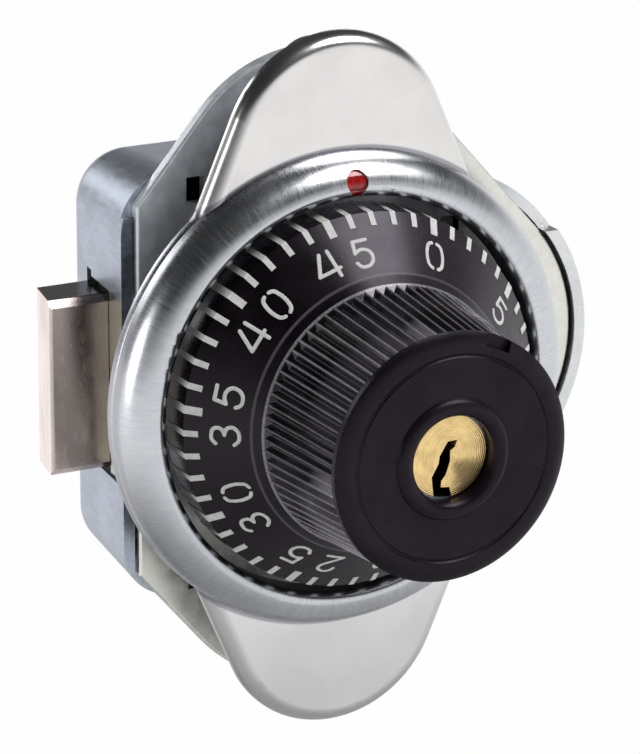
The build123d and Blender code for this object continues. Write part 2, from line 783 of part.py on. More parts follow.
with BuildPart() as key_plug:
    with BuildSketch(at(SLEEVE_BACK - 0.2)):
        Circle(PLUG_R)
    extrude(amount=SLEEVE_BACK - 0.2 - PLUG_Y)
    # keyway: a crooked slot, open at the foot of the plug
    with BuildSketch(at(-23.0)):
        with BuildLine():
            Polyline(
                (-0.05, 1.8),
                (1.25, 1.85),
                (0.9, 1.0),
                (0.3, 0.6),
                (0.3, -0.7),
                (-0.25, -2.3),
                (-0.85, -3.05),
                (-0.9, -3.8),
                (0.25, -3.95),
                (0.75, -5.9),
                (-1.75, -5.9),
                (-2.15, -2.4),
                (-1.25, -0.8),
                (-1.1, 0.15),
                close=True,
            )
        make_face()
    extrude(amount=16, mode=Mode.SUBTRACT)
    for index in range(PIN_COUNT):
        with BuildSketch(pin_plane_at(index, 0.6)):
            Circle(PIN_R + RUN)
    extrude(amount=6, mode=Mode.SUBTRACT)
    with BuildSketch(turned(SLEEVE_BACK - 0.2, DIAL_TURN)):
        Rectangle(1.3, 1.3)
    extrude(amount=1.0, mode=Mode.SUBTRACT)
key_plug.part.label = "key_plug"
export_step(key_plug.part, "parts/key_plug.step")

# tailpiece: square shank seated in the plug, reaching through the spindle to the override pin
with BuildPart() as tailpiece:
    with BuildSketch(turned(PIN_Y + 1.1, DIAL_TURN)):
        Rectangle(1.3, 1.3)
    extrude(amount=PIN_Y + 1.1 - SLEEVE_BACK + 1.2)
    # spiral lobe on the tail: a quarter turn lifts the override pin by OVERRIDE_LIFT
    lobe = []
    for step in range(0, 100, 10):
        a = math.radians(DIAL_TURN + 180 - step)
        r = 0.7 + OVERRIDE_LIFT * min(step, 90) / 90
        lobe.append((r * math.sin(a), r * math.cos(a)))
    lobe.append((0.0, 0.0))
    with BuildSketch(at(PIN_Y + 1.1)):
        with BuildLine():
            Polyline(*lobe, close=True)
        make_face()
    extrude(amount=2.2)
tailpiece.part.label = "tailpiece"
export_step(tailpiece.part, "parts/tailpiece.step")

with BuildPart() as key_pins:
    for index in range(PIN_COUNT):
        with BuildSketch(pin_plane_at(index, 0.9 + 0.3 * ((index * 3) % 5))):
            Circle(PIN_R)
        extrude(amount=4.75 - 0.9 - 0.3 * ((index * 3) % 5))
key_pins.part.label = "key_pins"
export_step(key_pins.part, "parts/key_pins.step")

with BuildPart() as driver_pins:
    for index in range(PIN_COUNT):
        with BuildSketch(pin_plane_at(index, PLUG_R + 0.15)):
            Circle(PIN_R)
    extrude(amount=2.6)
driver_pins.part.label = "driver_pins"
export_step(driver_pins.part, "parts/driver_pins.step")

with BuildPart() as pin_springs:
    for index in range(PIN_COUNT):
        seat = out * (PLUG_R + 2.9) + Vector(0, PIN_FIRST + index * PIN_PITCH, 0)
        with BuildLine():
            coil = Helix(pitch=0.9, height=3.6, radius=0.62, center=tuple(seat), direction=tuple(out))
        with BuildSketch(Plane(origin=coil @ 0, z_dir=coil % 0)):
            RegularPolygon(radius=0.14, side_count=6)
        sweep(is_frenet=True)
pin_springs.part.label = "pin_springs"
export_step(pin_springs.part, "parts/pin_springs.step")

# override pin in the cross hole of the spindle: with the key turned, it stands out of the
# spindle and catches the tooth in the window of the bolt tail
with BuildPart() as override_pin:
    tip = pin_plane.x_dir * 1.25 + Vector(0, PIN_Y, 0)
    with BuildSketch(Plane(origin=tip, z_dir=pin_plane.x_dir)):
        Circle(0.8)
    extrude(amount=SPINDLE_R - 0.05 - 1.25)
    foot = pin_plane.x_dir * 0.85 + Vector(0, PIN_Y, 0)
    with BuildSketch(Plane(origin=foot, z_dir=pin_plane.x_dir)):
        Circle(0.2)
    with BuildSketch(Plane(origin=tip, z_dir=pin_plane.x_dir)):
        Circle(0.8)
    loft()
override_pin.part.label = "override_pin"
export_step(override_pin.part, "parts/override_pin.step")
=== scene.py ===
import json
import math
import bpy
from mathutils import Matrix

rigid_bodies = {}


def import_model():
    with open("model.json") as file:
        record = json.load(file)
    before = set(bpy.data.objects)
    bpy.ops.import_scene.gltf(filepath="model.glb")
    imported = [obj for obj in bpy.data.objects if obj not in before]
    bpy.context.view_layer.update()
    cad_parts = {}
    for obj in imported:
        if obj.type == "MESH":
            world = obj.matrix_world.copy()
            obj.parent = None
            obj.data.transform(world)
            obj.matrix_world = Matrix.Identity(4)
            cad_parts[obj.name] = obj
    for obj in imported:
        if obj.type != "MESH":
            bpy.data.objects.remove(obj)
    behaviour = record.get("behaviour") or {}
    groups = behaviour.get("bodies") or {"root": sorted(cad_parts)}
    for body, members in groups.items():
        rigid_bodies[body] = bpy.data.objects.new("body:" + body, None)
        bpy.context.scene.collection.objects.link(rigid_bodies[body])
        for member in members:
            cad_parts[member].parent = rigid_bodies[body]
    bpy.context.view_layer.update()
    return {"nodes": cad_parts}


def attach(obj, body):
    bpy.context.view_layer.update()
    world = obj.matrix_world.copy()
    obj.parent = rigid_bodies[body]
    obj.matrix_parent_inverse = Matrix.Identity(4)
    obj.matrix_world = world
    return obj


bl_info = {
    "name": "Locker Lock Looks",
    "version": (1, 0, 0),
    "blender": (4, 5, 0),
    "location": "View3D > Sidebar > Locker Lock",
    "description": "Finishes, dial numbers, light and camera for a combination locker lock",
    "category": "Object",
}

import bpy
from bpy.props import FloatProperty, FloatVectorProperty, PointerProperty
from bpy.types import Operator, Panel, PropertyGroup
from mathutils import Matrix, Vector

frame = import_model()
MM = 0.001
WHITE = (1.0, 1.0, 1.0, 1.0)

# Places on the lock are in millimetres. A pair is the two ends of a soft edge.

# the cone of the dial: where it starts and ends, as radius and depth
CONE_IN, CONE_IN_Y = 17.7, -19.6
CONE_OUT, CONE_OUT_Y = 24.0, -14.0
CONE_SLOPE = (CONE_OUT_Y - CONE_IN_Y) / (CONE_OUT - CONE_IN)
CONE_STEEP = 1 / math.hypot(1, CONE_SLOPE)
# how far the dial stands turned and the angle from stroke to stroke, in degrees
DIAL_TURN = 24.155
STROKE_APART = 7.2
NUMBERS = range(0, 50, 5)
# longest straight piece of a painted figure
STRAIGHT_STEP = 0.4
# steps along the round end of a stroke, and the least share of its width there
TIP_STEPS = (0.0, 0.5, 0.8, 0.95, 1.0)
TIP_LEAST = 0.02

# the trim plate: painted shade in the crease at the foot of the ring, ring, rough inner lip
# darkened by a painted dark reflection, scratches on the ring
CREASE_R = 30.75
RING_EDGE = (30.4, 30.9)
LIP_EDGE = (25.5, 25.75)
SCRATCH_EDGE = (26.2, 27.3)
# shade low on the trim: over its height, and across the ring's lower left
FOOT_Z = (-42.0, -14.0)
UNDER_SLANT = (-30.0, -20.5)
# the ring's brushed streaks, toned darker and cooler than the lobes as painted shade
GRAIN_AND_SHADE_DARK, GRAIN_AND_SHADE_LIGHT = (0.70, 0.74, 0.79), (0.86, 0.89, 0.93)
FOOT_SHADE = (0.26, 0.265, 0.295)
# painted shade in the crease round the foot of the ring
CREASE_SHADE = (0.22, 0.21, 0.26)
# painted dark reflection on the inner lip of the ring
LIP_DARK_REFLECTION = (0.05, 0.05, 0.06)

# the mounting plate: painted light making it cream below and to the right, shade behind the ring,
# burr with a painted highlight along its edge
PLATE_LOW_Z = (-22.0, -8.0)
PLATE_RIGHT_X = (12.0, 26.0)
PLATE_SHADE_R = (30.0, 33.0)
PLATE_SHADE_X = (6.0, 14.0)
PLATE_MID_Y = 0.45
# painted light: the cream of the plate's lit lower and right parts
LIT_CREAM_DARK, LIT_CREAM_LIGHT = (0.74, 0.74, 0.69), (0.90, 0.90, 0.85)
PLATE_SHADE = (0.035, 0.037, 0.042)
# a burr and a painted highlight along the plate's edge
BURR_AND_HIGHLIGHT = (0.85, 0.84, 0.78)

# the case: painted light making its flange pale at the front right
FLANGE_X = (24.0, 34.0)
FLANGE_Y = (6.0, 16.0)
LIT_FLANGE_DARK, LIT_FLANGE_LIGHT = (0.68, 0.70, 0.71), (0.82, 0.83, 0.83)

# the bolt: darker toward the case, on its front face, and painted shade on the outer part of its
# top
BOLT_INWARD_X = (-28.3, -25.3)
BOLT_FRONT_Y = (6.2, 7.0)
BOLT_TOP = 11.4
CROWN_X = (-24.0, -23.0)
BOLT_INWARD_TINT = (0.50, 0.39, 0.37)
CROWN_SHADE = (0.022, 0.017, 0.016)

# the dial: painted shadow on the paint under the lip, a painted reflection on the lighter upper
# right, and a painted highlight as a line round the boss
PAINT_SHADOW_Y = (-13.6, -10.4)
PAINT_SHADOW = (0.10, 0.08, 0.07)
DIAL_REFLECTION_SLANT = (8.0, 27.0)
DIAL_REFLECTION_TINT = (0.036, 0.030, 0.038)
# painted highlight round the edge of the boss
BOSS_HIGHLIGHT = (0.13, 0.12, 0.135)
PLUM = (0.95, 0.87, 1.0, 1.0)

# crest of the ribs of the grip at its front end, how it widens toward the dial, and their depth
RIB_FRONT_R, RIB_FRONT_Y = 15.35, -36.2
RIB_FLARE = 0.0865
RIB_DEEP = 0.7
# painted highlights along the crests and roots of the ribs
RIB_HIGHLIGHT = (0.34, 0.33, 0.35)
CAP_LINE_R = 12.75

# the plug: painted shade where its keyway is deep, and a painted dark reflection in a sector of its
# face
KEYWAY_Y = (-36.15, -35.5)
KEYWAY_SHADE = (0.012, 0.009, 0.006)
SECTOR_REFLECTION = (0.10, 0.065, 0.035)

# the stage, in metres: the floor glows on mirrored rays only away from the lock
FLOOR_SIZE = 6.0
FLOOR_Z = -0.16
FLOOR_TINT = (0.86, 0.86, 0.86, 1.0)
GLOW_REACH = (0.06, 0.34)
FLOOR_GLOW = 0.985
LAMP_AIM = (0.0, -0.02, 0.0)
# rise of a ray where the studio's walls give way to its ceiling, and the dimmer left side
CEILING_RISE = (0.08, 0.38)
DIM_SIDE_X = (-0.8, 0.4)
DIM_SIDE = 0.5

# the camera of the photograph: its three axes and its place
CAMERA_RIGHT = (0.88905513, -0.45776499, 0.00567323)
CAMERA_UP = (0.14299444, 0.2894485, 0.94645241)
CAMERA_BACK = (-0.43489488, -0.84063713, 0.32279352)
CAMERA_PLACE = (-0.22078165, -0.42998788, 0.16363155)

# centre lines of the dial figures; a point with a third value is a sharp corner
FIGURES = {
    "0": (
        ((-0.42, 3.5), (-0.8, 3.3), (-1.05, 2.8), (-1.05, 0.75), (-0.8, 0.25), (-0.4, 0.03)),
        ((0.38, 3.5), (0.8, 3.3), (1.05, 2.8), (1.05, 0.7), (0.8, 0.22), (0.42, 0.0)),
    ),
    "1": (
        ((-0.6, 2.85, 1), (0.15, 3.5, 1)),
        ((0.15, 3.5, 1), (0.15, 0.0, 1)),
    ),
    "2": (
        (
            (-1.05, 2.6),
            (-0.85, 3.15),
            (-0.3, 3.5),
            (0.35, 3.45),
            (0.9, 3.0),
            (0.9, 2.35),
            (0.5, 1.75),
        ),
        ((0.5, 1.75, 1), (-1.1, 0.02, 1)),
        ((-1.1, 0.02, 1), (1.15, 0.02, 1)),
    ),
    "3": (
        (
            (-1.05, 2.95),
            (-0.6, 3.4),
            (0.05, 3.5),
            (0.75, 3.25),
            (0.95, 2.7),
            (0.7, 2.1),
            (0.1, 1.85),
        ),
        ((0.1, 1.85), (0.8, 1.6), (1.1, 1.0), (0.85, 0.35), (0.15, 0.0), (-0.6, 0.1), (-1.1, 0.6)),
    ),
    "4": (
        ((-0.17, 3.46, 1), (-1.44, 0.91, 1)),
        ((-1.44, 0.91, 1), (1.44, 0.91, 1)),
        ((0.99, 3.45, 1), (0.99, 0.0, 1)),
    ),
    "5": (
        ((1.0, 3.45, 1), (-0.75, 3.45, 1)),
        ((-0.75, 3.45, 1), (-0.95, 1.95, 1)),
        (
            (-0.95, 1.95),
            (-0.3, 2.25),
            (0.45, 2.2),
            (1.05, 1.65),
            (1.1, 0.9),
            (0.65, 0.25),
            (-0.1, 0.0),
            (-0.75, 0.15),
            (-1.1, 0.65),
        ),
    ),
}


def amount(label, text, value, **more):
    return FloatProperty(name=label, description=text, default=value, **more)


def length(label, text, value):
    return amount(label, text, value, unit="LENGTH", precision=5)


def share(label, text, value):
    return amount(label, text, value, min=0.0, max=1.0, subtype="FACTOR")


def colour(label, text, value):
    return FloatVectorProperty(
        name=label, description=text, default=value, size=3, min=0.0, max=1.0, subtype="COLOR"
    )


class LockSizes(PropertyGroup):
    figure_stroke: length("Figure stroke", "Width of the strokes of the dial figures", 0.0005)
    figure_foot: length("Figure foot", "Radius at which the figures stand on the cone", 0.0188)
    figure_paint: length("Paint height", "How far the paint stands above the dial", 0.00003)
    figure_apart: amount(
        "Figure spacing",
        "Angle between the two figures of a number",
        math.radians(14.0),
        subtype="ANGLE",
    )


class LockColours(PropertyGroup):
    chrome: colour("Trim", "Satin chrome of the trim plate", (0.79, 0.78, 0.775))
    plate: colour("Plate", "Plated steel of the mounting plate", (0.66, 0.70, 0.75))
    case: colour("Case", "Zinc plating of the case", (0.46, 0.50, 0.58))
    bolt: colour("Bolt", "Nickel plating of the bolt", (0.92, 0.79, 0.75))
    dial: colour("Dial", "Moulded plastic of the dial", (0.0065, 0.0045, 0.0065))
    knob: colour("Knob", "Gloss plastic of the ribbed grip", (0.006, 0.006, 0.0065))
    cap: colour("Cap", "Satin plastic of the cap", (0.0115, 0.0078, 0.0125))
    paint: colour("Paint", "Paint of the strokes and figures", (0.88, 0.88, 0.87))
    brass: colour("Plug", "Milled brass of the plug", (0.88, 0.64, 0.29))
    index: colour("Index", "Enamel of the index", (0.50, 0.012, 0.012))


class StudioSettings(PropertyGroup):
    lens: amount("Lens", "Focal length of the camera", 194.155, unit="CAMERA")
    wall: share("Wall", "Brightness of the studio walls in reflections", 0.95)
    ceiling: share("Ceiling", "Brightness of the studio ceiling", 0.05)
    key: amount("Key lamp", "Power of the main lamp", 5.0, unit="POWER")
    fill: amount("Fill lamp", "Power of the fill lamp", 2.0, unit="POWER")
    rim: amount("Rim lamp", "Power of the lamp behind", 0.8, unit="POWER")


class Amount:
    """A number that changes over a surface. Sums on it add Math nodes."""

    def __init__(self, nodes, socket):
        self.nodes = nodes
        self.socket = socket

    def _sum(self, operation, *values):
        node = self.nodes.node("ShaderNodeMath", {"operation": operation}, dict(enumerate(values)))
        return Amount(self.nodes, node.outputs[0])

    def __add__(self, other):
        return self._sum("ADD", self, other)

    __radd__ = __add__

    def __sub__(self, other):
        return self._sum("SUBTRACT", self, other)

    def __rsub__(self, other):
        return self._sum("SUBTRACT", other, self)

    def __mul__(self, other):
        return self._sum("MULTIPLY", self, other)

    __rmul__ = __mul__

    def __truediv__(self, other):
        return self._sum("DIVIDE", self, other)

    def __rtruediv__(self, other):
        return self._sum("DIVIDE", other, self)

    def angle(self, other):
        """The angle from the axis of the other amount to that of this one."""
        return self._sum("ARCTAN2", self, other)

    def sine(self):
        return self._sum("SINE", self)

    def size(self):
        return self._sum("ABSOLUTE", self)

    def root(self):
        return self._sum("SQRT", self)

    def most(self, other):
        return self._sum("MAXIMUM", self, other)

    def ramp(self, low, high, start=0.0, end=1.0):
        """Runs smoothly from start to end as the amount goes from low to high."""
        node = self.nodes.node(
            "ShaderNodeMapRange",
            {"interpolation_type": "SMOOTHSTEP"},
            {"Value": self, "From Min": low, "From Max": high, "To Min": start, "To Max": end},
        )
        return Amount(self.nodes, node.outputs[0])

    def fade(self, low, high, start=1.0):
        return self.ramp(low, high, start, 0.0)

    def near(self, centre, low, high, start):
        """Fades from start as the amount leaves the centre, between two distances."""
        return (self - centre).size().fade(low, high, start)


class Nodes:
    """The nodes of a material or a world."""

    def __init__(self, owner):
        owner.use_nodes = True
        self.tree = owner.node_tree

    def node(self, kind, settings=None, inputs=None):
        """Adds a node: settings first, then the values or links of its sockets."""
        node = self.tree.nodes.new(kind)
        for key, value in (settings or {}).items():
            setattr(node, key, value)
        for key, value in (inputs or {}).items():
            self.fill(node.inputs[key], value)
        return node

    def fill(self, socket, value):
        """Gives a socket an amount, a link or a plain value."""
        if isinstance(value, Amount):
            value = value.socket
        if isinstance(value, bpy.types.NodeSocket):
            self.tree.links.new(value, socket)
        else:
            socket.default_value = value

    def mix_shaders(self, factor, first, second, end):
        """Joins two shader nodes by a factor, into the output node that end names."""
        inputs = {0: factor, 1: first.outputs[0], 2: second.outputs[0]}
        mixed = self.node("ShaderNodeMixShader", inputs=inputs)
        self.fill(self.tree.nodes[end].inputs["Surface"], mixed.outputs[0])


class Finish(Nodes):
    """One material: a shader and the pattern that feeds it."""

    def __init__(self, name, **constants):
        self.material = bpy.data.materials.new(name)
        super().__init__(self.material)
        self.shader = self.tree.nodes["Principled BSDF"]
        for socket, value in constants.items():
            self.shader.inputs[socket.replace("_", " ")].default_value = value
        self.place = self.node("ShaderNodeTexCoord").outputs["Object"]
        split = self.node("ShaderNodeSeparateXYZ", inputs={"Vector": self.place})
        self.x, self.y, self.z = (Amount(self, s) / MM for s in split.outputs)

    def noise(self, scale, detail=3.0, rough=0.5):
        """Noise of so many cells to a millimetre, one scale or three for a drawn out grain."""
        scales = scale if isinstance(scale, tuple) else (scale,) * 3
        inputs = {"Vector": self.place, "Scale": [s / MM for s in scales]}
        drawn = self.node("ShaderNodeMapping", inputs=inputs)
        return self.noise_at(drawn.outputs[0], detail, rough)

    def noise_at(self, vector, detail, rough):
        inputs = {"Vector": vector, "Scale": 1.0, "Detail": detail, "Roughness": rough}
        return Amount(self, self.node("ShaderNodeTexNoise", inputs=inputs).outputs["Fac"])

    def polar_noise(self, around, across, detail=2.0):
        """Noise in radius and angle about the dial axis, for turned or brushed rings."""
        angle = self.x.angle(self.z)
        inputs = {"X": self.radius() * across, "Y": angle * around, "Z": self.y * 0.2}
        joined = self.node("ShaderNodeCombineXYZ", inputs=inputs)
        return self.noise_at(joined.outputs[0], detail, 0.55)

    def radius(self):
        return (self.x * self.x + self.z * self.z).root()

    def blend(self, factor, first, second):
        """Colour between two colours, each a value or a link."""
        inputs = {}
        for index, value in ((0, factor), (6, first), (7, second)):
            inputs[index] = (*value, 1.0) if isinstance(value, tuple) else value
        return self.node("ShaderNodeMix", {"data_type": "RGBA"}, inputs).outputs[2]

    def varied(self, pattern, base, dark, light):
        """The base colour, from its dark to its light tone as the pattern goes from 0 to 1."""
        return self.blend(pattern, tone(base, dark), tone(base, light))

    def feed(self, socket, value):
        self.fill(self.shader.inputs[socket], value)

    def bump(self, height, distance=1.0):
        """Relief on the surface; distance is in millimetres."""
        inputs = {"Height": height, "Distance": distance * MM, "Strength": 1.0}
        self.feed("Normal", self.node("ShaderNodeBump", inputs=inputs).outputs[0])


def tone(base, factor):
    """A colour times a factor, or times one factor for each channel."""
    factors = factor if isinstance(factor, tuple) else (factor,) * 3
    return tuple(min(1.0, c * f) for c, f in zip(base, factors))


def coat(mesh, finish):
    mesh.materials.clear()
    mesh.materials.append(finish.material)


def wear(*nodes, finish):
    """Gives a finish to CAD nodes."""
    for name in nodes:
        coat(frame["nodes"][name].data, finish)


def plated(name, base, rough, drawn=1.0, relief=0.004):
    """Plated or bright metal with a fine grain, drawn out along one axis if asked."""
    made = Finish(name, Metallic=1.0)
    cloud = made.noise(0.16)
    grain = made.noise(drawn, 4.0, 0.6)
    pattern = (cloud * 0.6 + grain * 0.4).ramp(0.3, 0.7)
    made.feed("Base Color", made.varied(pattern, base, 0.88, 1.12))
    polish = grain * 0.6 + cloud * 0.4
    made.feed("Roughness", polish.ramp(0.25, 0.75, rough * 0.8, rough * 1.25))
    made.bump(grain, relief)
    return made


def moulded(name, tint, rough, shine):
    """Moulded plastic without its colour and relief: the finish, the colour and the grain."""
    made = Finish(name, IOR=1.5, Specular_IOR_Level=shine, Specular_Tint=PLUM)
    cloud = made.noise(0.25, 2.0)
    pebble = made.noise(4.5, 2.0)
    polish = cloud * 0.5 + pebble * 0.5
    made.feed("Roughness", polish.ramp(0.3, 0.7, rough * 0.8, rough * 1.2))
    return made, made.varied(cloud.ramp(0.35, 0.65), tint, 0.75, 1.3), pebble


def deselect():
    bpy.ops.object.select_all(action="DESELECT")


def filled(points):
    """The points of a stroke with more of them on its straight runs, so it follows the cone."""
    run = [points[0]]
    for here, there in zip(points, points[1:]):
        if len(here) > 2 and len(there) > 2:
            parts = math.ceil(math.dist(here[:2], there[:2]) / STRAIGHT_STEP)
            for step in range(1, parts):
                run.append(tuple(a + (b - a) * step / parts for a, b in zip(here, there)))
        run.append(there)
    return run


def rounded(points, half):
    """A stroke's points with round ends: (x, y, corner, width share)."""
    run = [(p[0], p[1], len(p) > 2, 1.0) for p in filled(points)]
    for end in (0, -1):
        x, y, _, _ = run[end]
        nx, ny = run[1 if end == 0 else -2][:2]
        reach = math.hypot(x - nx, y - ny)
        ux, uy = (x - nx) / reach, (y - ny) / reach
        steps = [(s, math.sqrt(1 - s * s)) for s in TIP_STEPS]
        tips = [(x + ux * half * s, y + uy * half * s, True, max(w, TIP_LEAST)) for s, w in steps]
        run = tips[::-1] + run[1:] if end == 0 else run[:-1] + tips
    return run


def draw_figure(sign, half):
    """Flat strokes of one figure, standing at the origin in millimetres, as a mesh."""
    deselect()
    bpy.ops.curve.primitive_bezier_curve_add(location=(0, 0, 0))
    drawn = bpy.context.object
    drawn.name = "figure_" + sign
    drawn.data.splines.clear()
    drawn.data.dimensions = "3D"
    drawn.data.resolution_u = 5
    drawn.data.bevel_depth = half
    drawn.data.bevel_resolution = 2
    drawn.data.use_fill_caps = True
    for points in FIGURES[sign]:
        run = rounded(points, half)
        spline = drawn.data.splines.new("BEZIER")
        spline.bezier_points.add(len(run) - 1)
        for point, (x, y, corner, width) in zip(spline.bezier_points, run):
            point.co = (x, y, 0)
            point.radius = width
            kind = "VECTOR" if corner else "AUTO"
            point.handle_left_type = kind
            point.handle_right_type = kind
    bpy.ops.object.convert(target="MESH")
    return drawn


def on_cone(x, radius, lift):
    """Point of the dial's cone, in millimetres, with 0 at the top of the dial."""
    reach = math.hypot(x, radius)
    depth = CONE_IN_Y + (reach - CONE_IN) * CONE_SLOPE
    reach_up = reach + lift * CONE_SLOPE * CONE_STEEP
    return Vector((x * reach_up / reach, depth - lift * CONE_STEEP, radius * reach_up / reach))


def turned_copy(master, turn):
    """A copy of a figure in the scene, turned about the dial axis."""
    copy = master.copy()
    copy.data = master.data.copy()
    bpy.context.scene.collection.objects.link(copy)
    copy.data.transform(Matrix.Rotation(turn, 4, "Y"))
    return copy


def number_name(number):
    return f"number_{number:02d}"


class LOCK_OT_dial_numbers(Operator):
    """Paint the numbers 0 to 45 on the cone of the dial"""

    bl_idname = "lock.dial_numbers"
    bl_label = "Dial Numbers"

    def execute(self, context):
        sizes = context.scene.lock_sizes
        half = sizes.figure_stroke / MM / 2
        foot = sizes.figure_foot / MM
        paint = sizes.figure_paint / MM
        masters = {}
        for sign in FIGURES:
            masters[sign] = draw_figure(sign, half)
            for corner in masters[sign].data.vertices:
                u, v, w = corner.co
                corner.co = on_cone(u, foot + v * CONE_STEEP, w / half * paint) * MM
        for number in NUMBERS:
            signs = str(number)
            parts = []
            for place, sign in enumerate(signs):
                aside = (place - (len(signs) - 1) / 2) * sizes.figure_apart
                turn = math.radians(DIAL_TURN + STROKE_APART * number) + aside
                parts.append(turned_copy(masters[sign], turn))
            deselect()
            for part in parts:
                part.select_set(True)
            context.view_layer.objects.active = parts[0]
            if len(parts) > 1:
                bpy.ops.object.join()
            whole = context.view_layer.objects.active
            whole.name = number_name(number)
            whole.data.name = whole.name
            bpy.ops.object.shade_smooth()
            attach(whole, "knob_unit")
        for master in masters.values():
            bpy.data.objects.remove(master)
        return {"FINISHED"}


class LOCK_OT_trim_finish(Operator):
    """Finish the trim plate and its index"""

    bl_idname = "lock.trim_finish"
    bl_label = "Trim Finish"

    def execute(self, context):
        tints = context.scene.lock_colours
        trim = Finish("satin_chrome", Metallic=1.0)
        reach = trim.radius()
        ring = reach.fade(*RING_EDGE)
        cloud = trim.noise(0.12, 2.0)
        brush = trim.polar_noise(150.0, 0.5)
        speck = trim.noise(2.6, 3.0, 0.6)
        warm = trim.varied(cloud.ramp(0.35, 0.65), tints.chrome, 0.96, 1.04)
        streaks = (cloud * 0.4 + brush * 0.6).ramp(0.3, 0.7)
        # brushed streaks on the ring, with painted shade: darker and cooler than the flat lobes
        grain_and_shade = trim.varied(streaks, tints.chrome, GRAIN_AND_SHADE_DARK, GRAIN_AND_SHADE_LIGHT)
        # painted shade low on the trim and across the ring's lower left
        foot = trim.z.fade(*FOOT_Z, 0.36)
        under = ((trim.x + trim.z) * 0.7).fade(*UNDER_SLANT, 0.45) * ring
        face = trim.blend(foot.most(under), trim.blend(ring, warm, grain_and_shade), FOOT_SHADE)
        # painted shade: a dark line in the crease round the foot of the ring
        face = trim.blend(reach.near(CREASE_R, 0.1, 0.45, 0.7), face, CREASE_SHADE)
        # painted dark reflection darkens the inner lip, which is also made rougher
        lip = reach.fade(*LIP_EDGE)
        trim.feed("Base Color", trim.blend(lip * 0.85, face, LIP_DARK_REFLECTION))
        scratch = brush * ring * reach.ramp(*SCRATCH_EDGE)
        sheen = (scratch * 0.5 + cloud * 0.5 + speck * 0.2).ramp(0.2, 0.9, 0.2, 0.34)
        trim.feed("Roughness", sheen + lip * 0.25)
        trim.bump(scratch * 0.8 + speck * 0.25, 0.004)
        wear("trim_plate", finish=trim)

        enamel = Finish("red_enamel", Roughness=0.12, Coat_Weight=0.6, Coat_Roughness=0.05, IOR=1.5)
        depth = enamel.noise(1.3, 2.0)
        enamel.feed("Base Color", enamel.varied(depth.ramp(0.3, 0.7), tints.index, 0.7, 1.25))
        enamel.bump(depth, 0.01)
        wear("index_marker", finish=enamel)
        return {"FINISHED"}


class LOCK_OT_case_finish(Operator):
    """Finish the mounting plate, the case and the bolt guide"""

    bl_idname = "lock.case_finish"
    bl_label = "Plate and Case Finish"

    def execute(self, context):
        tints = context.scene.lock_colours
        plate = Finish("plate_steel", Metallic=1.0)
        blotch = plate.noise(0.55, 4.0, 0.6)
        fleck = plate.noise(2.2, 3.0, 0.6)
        patch = blotch.ramp(0.35, 0.68)
        # painted light: the plate paler and cream below and to the right
        pale = plate.z.fade(*PLATE_LOW_Z).most(plate.x.ramp(*PLATE_RIGHT_X))
        grey = plate.varied(patch, tints.plate, 1.1, 1.3)
        lit_cream = plate.blend(patch, LIT_CREAM_DARK, LIT_CREAM_LIGHT)
        shade = plate.radius().fade(*PLATE_SHADE_R, 0.88) * plate.x.ramp(*PLATE_SHADE_X)
        flat = plate.blend(shade, plate.blend(pale, grey, lit_cream), PLATE_SHADE)
        # a burr with a painted highlight along the edge, left out where the plate is in shade
        edge = (plate.y - PLATE_MID_Y).size().ramp(0.2, 0.9) * (1.0 - shade)
        burr_and_highlight = edge * 0.5 * fleck.ramp(0.4, 0.6)
        plate.feed("Base Color", plate.blend(burr_and_highlight, flat, BURR_AND_HIGHLIGHT))
        plate.feed("Metallic", pale.most(shade) * 0.5 + 0.5)
        plate.feed("Roughness", blotch.ramp(0.3, 0.7, 0.32, 0.5))
        plate.bump(blotch * 0.7 + fleck * 0.3, 0.012)
        wear("mounting_plate", finish=plate)

        case = Finish("case_zinc", Metallic=1.0)
        blotch = case.noise(0.2, 4.0, 0.55)
        drawn = case.noise((1.8, 0.3, 1.8), 4.0, 0.65)
        cover = blotch * 0.5 + drawn * 0.5
        patch = cover.ramp(0.38, 0.62)
        grey = case.varied(patch, tints.case, 0.84, 1.14)
        # painted light: the flange at the front right made pale
        pale = case.blend(patch, LIT_FLANGE_DARK, LIT_FLANGE_LIGHT)
        flange = case.x.ramp(*FLANGE_X) * case.y.fade(*FLANGE_Y)
        case.feed("Base Color", case.blend(flange, grey, pale))
        case.feed("Roughness", cover.ramp(0.3, 0.7, 0.3, 0.46))
        case.bump(blotch * 0.6 + drawn * 0.4, 0.015)
        wear("case", "cylinder_sleeve", "drive_cam", finish=case)

        wear("bolt_guide", finish=plated("guide_steel", (0.56, 0.60, 0.50), 0.38))
        return {"FINISHED"}


class LOCK_OT_bolt_finish(Operator):
    """Finish the bolt and the lever that drops into the wheels"""

    bl_idname = "lock.bolt_finish"
    bl_label = "Bolt Finish"

    def execute(self, context):
        tints = context.scene.lock_colours
        bolt = Finish("bolt_nickel", Metallic=1.0)
        vein = bolt.noise((0.9, 0.9, 0.35))
        cloud = bolt.noise((0.14, 0.3, 0.09), 1.0)
        slant = bolt.x + cloud * 3.0 + vein * 0.7 + bolt.z * 0.05
        inward = slant.ramp(*BOLT_INWARD_X, 0.0, 0.85)
        front = bolt.y.fade(*BOLT_FRONT_Y)
        # painted shade on the outer part of the bolt's top
        crown_shade = bolt.z.ramp(BOLT_TOP - 0.12, BOLT_TOP - 0.02, 0.0, 0.94) * bolt.x.fade(*CROWN_X)
        clean = bolt.varied((vein * 0.4 + cloud * 0.6).ramp(0.35, 0.65), tints.bolt, 0.86, 1.08)
        face = bolt.blend(inward * front, clean, BOLT_INWARD_TINT)
        bolt.feed("Base Color", bolt.blend(crown_shade, face, CROWN_SHADE))
        bolt.feed("Metallic", 1.0 - front * (1.0 - inward) * 0.75)
        bolt.feed("Roughness", vein.ramp(0.3, 0.7, 0.2, 0.3))
        bolt.bump(vein, 0.006)
        wear("latch_bolt", finish=bolt)
        wear("fence_lever", finish=plated("lever_steel", (0.58, 0.59, 0.60), 0.36))
        return {"FINISHED"}


